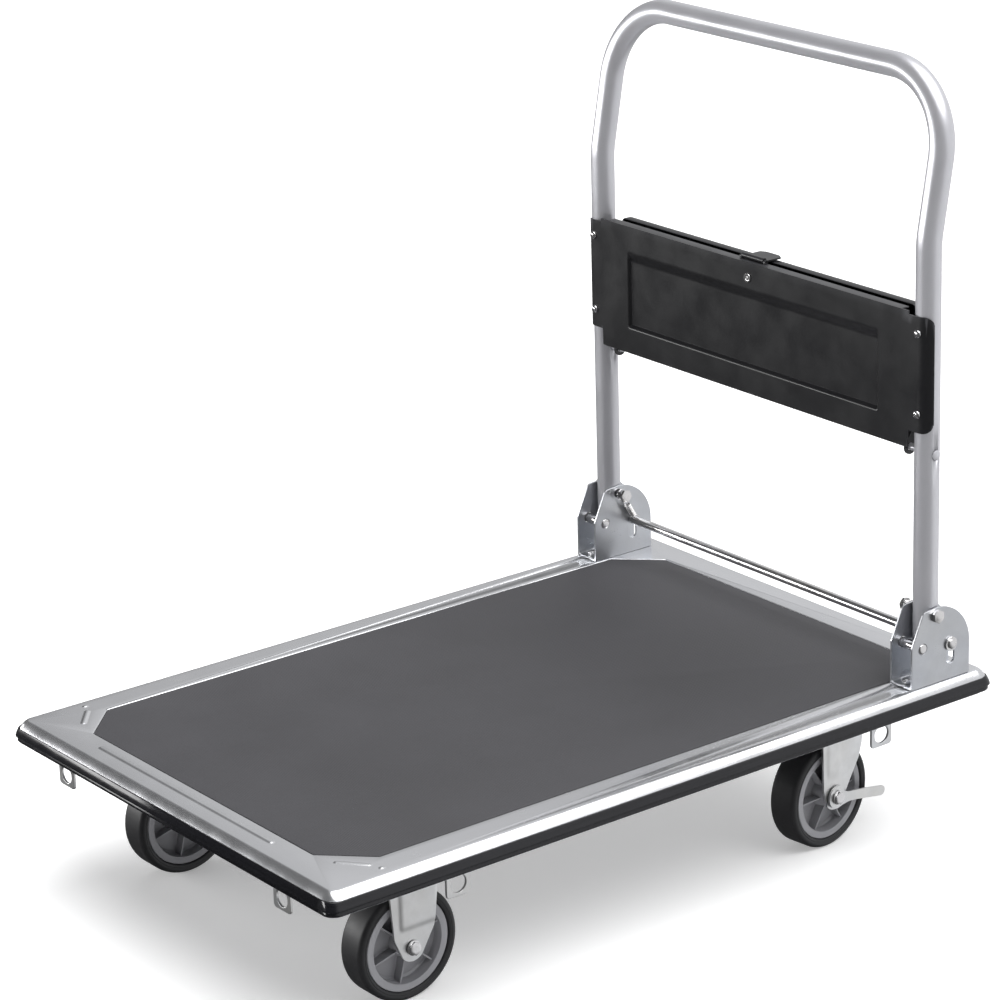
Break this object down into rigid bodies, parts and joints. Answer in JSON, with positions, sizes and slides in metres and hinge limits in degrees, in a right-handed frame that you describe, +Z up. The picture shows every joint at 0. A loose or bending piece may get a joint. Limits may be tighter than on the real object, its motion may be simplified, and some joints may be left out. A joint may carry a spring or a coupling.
{
  "type": "folding platform cart",
  "caption": "Flatbed hand cart: pressed steel deck with rubber mat and bumper, fixed and swivel castors, and a tubular push handle with panel and drop tray that folds over the deck.",
  "frame": {"origin": "on the floor, under the middle of the deck", "axes": "+X from the push handle towards the deck's free front edge, +Y to the left side of the cart as its user sees it, +Z up"},
  "size_m": [0.91, 0.61, 0.88],
  "materials": {
    "deck_paint": "silver grey baked paint, semi-gloss",
    "mat_rubber": "dark grey fine-ribbed rubber, matt",
    "bumper_vinyl": "black extruded vinyl, glossy",
    "zinc_plate": "bright zinc plating",
    "handle_paint": "grey powder coat, satin",
    "panel_paint": "black powder coat, satin",
    "wheel_plastic": "moulded mid-grey plastic",
    "tyre_rubber": "black solid rubber"
  },
  "bodies": {
    "chassis": {"base_bolt_left": "zinc_plate", "base_bolt_right": "zinc_plate", "bumper_strip": "bumper_vinyl", "cross_rail_front": "deck_paint", "cross_rail_rear": "deck_paint", "deck_mat": "mat_rubber", "deck_pan": "deck_paint", "fixed_axle_left": "zinc_plate", "fixed_axle_right": "zinc_plate", "fixed_fork_left": "zinc_plate", "fixed_fork_right": "zinc_plate", "handle_bracket_left": "zinc_plate", "handle_bracket_right": "zinc_plate", "kingpin_left": "zinc_plate", "kingpin_right": "zinc_plate", "lashing_lug_front_left": "zinc_plate", "lashing_lug_front_right": "zinc_plate", "lashing_lug_left_front": "zinc_plate", "lashing_lug_left_rear": "zinc_plate", "lashing_lug_rear_left": "zinc_plate", "lashing_lug_rear_right": "zinc_plate", "lashing_lug_right_front": "zinc_plate", "lashing_lug_right_rear": "zinc_plate", "pivot_bolt_left": "zinc_plate", "pivot_bolt_right": "zinc_plate", "return_spring_left": "zinc_plate", "return_spring_right": "zinc_plate", "spine_rail": "deck_paint", "stop_pin_left": "zinc_plate", "stop_pin_right": "zinc_plate", "swivel_plate_left": "zinc_plate", "swivel_plate_right": "zinc_plate"},
    "handle": {"handle_tube": "handle_paint", "front_panel": "panel_paint", "latch_pin": "zinc_plate", "panel_rivet": "zinc_plate", "panel_screw_left_lower": "zinc_plate", "panel_screw_left_upper": "zinc_plate", "panel_screw_right_lower": "zinc_plate", "panel_screw_right_upper": "zinc_plate", "tray_hinge_bolt_left": "zinc_plate", "tray_hinge_bolt_right": "zinc_plate"},
    "tray": {"tray_panel": "panel_paint"},
    "latch": {"latch_tongue": "panel_paint"},
    "release_rod": {"release_rod": "zinc_plate"},
    "swivel_left": {"swivel_fork_left": "zinc_plate", "swivel_axle_left": "zinc_plate"},
    "brake_left": {"brake_lever_left": "zinc_plate"},
    "swivel_right": {"swivel_fork_right": "zinc_plate", "swivel_axle_right": "zinc_plate"},
    "brake_right": {"brake_lever_right": "zinc_plate"},
    "wheel_front_left": {"wheel_hub_front_left": "wheel_plastic", "tyre_front_left": "tyre_rubber"},
    "wheel_front_right": {"wheel_hub_front_right": "wheel_plastic", "tyre_front_right": "tyre_rubber"},
    "wheel_rear_left": {"wheel_hub_rear_left": "wheel_plastic", "tyre_rear_left": "tyre_rubber"},
    "wheel_rear_right": {"wheel_hub_rear_right": "wheel_plastic", "tyre_rear_right": "tyre_rubber"}
  },
  "joints": [
    {"name": "handle_fold", "type": "hinge", "parent": "chassis", "child": "handle", "pos_m": [-0.3746, 0, 0.27], "axis": [0, 1, 0], "range_deg": [0, 90]},
    {"name": "tray_drop", "type": "hinge", "parent": "handle", "child": "tray", "pos_m": [-0.3746, 0, 0.456], "axis": [0, -1, 0], "range_deg": [0, 90]},
    {"name": "latch_lift", "type": "hinge", "parent": "handle", "child": "latch", "pos_m": [-0.3683, 0, 0.6196], "axis": [0, 1, 0], "range_deg": [0, 40]},
    {"name": "rod_press", "type": "slide", "parent": "chassis", "child": "release_rod", "axis": [0, 0, -1], "range_m": [0, 0.018], "stiffness_N_per_m": 2000, "springref_m": -0.005, "deforming": ["return_spring_left", "return_spring_right"]},
    {"name": "castor_turn_left", "type": "hinge", "parent": "chassis", "child": "swivel_left", "pos_m": [-0.305, 0.207, 0.14], "axis": [0, 0, 1], "continuous": true},
    {"name": "wheel_spin_rear_left", "type": "hinge", "parent": "swivel_left", "child": "wheel_rear_left", "pos_m": [-0.27518, 0.21024, 0.0625], "axis": [-0.108, 0.9942, 0], "continuous": true},
    {"name": "brake_press_left", "type": "hinge", "parent": "swivel_left", "child": "brake_left", "pos_m": [-0.27518, 0.21024, 0.0625], "axis": [0.108, -0.9942, 0], "range_deg": [0, 15]},
    {"name": "wheel_spin_front_left", "type": "hinge", "parent": "chassis", "child": "wheel_front_left", "pos_m": [0.305, 0.207, 0.0625], "axis": [0, 1, 0], "continuous": true},
    {"name": "castor_turn_right", "type": "hinge", "parent": "chassis", "child": "swivel_right", "pos_m": [-0.305, -0.207, 0.14], "axis": [0, 0, 1], "continuous": true},
    {"name": "wheel_spin_rear_right", "type": "hinge", "parent": "swivel_right", "child": "wheel_rear_right", "pos_m": [-0.275, -0.207, 0.0625], "axis": [0, 1, 0], "continuous": true},
    {"name": "brake_press_right", "type": "hinge", "parent": "swivel_right", "child": "brake_right", "pos_m": [-0.275, -0.207, 0.0625], "axis": [0, -1, 0], "range_deg": [0, 15]},
    {"name": "wheel_spin_front_right", "type": "hinge", "parent": "chassis", "child": "wheel_front_right", "pos_m": [0.305, -0.207, 0.0625], "axis": [0, 1, 0], "continuous": true}
  ]
}
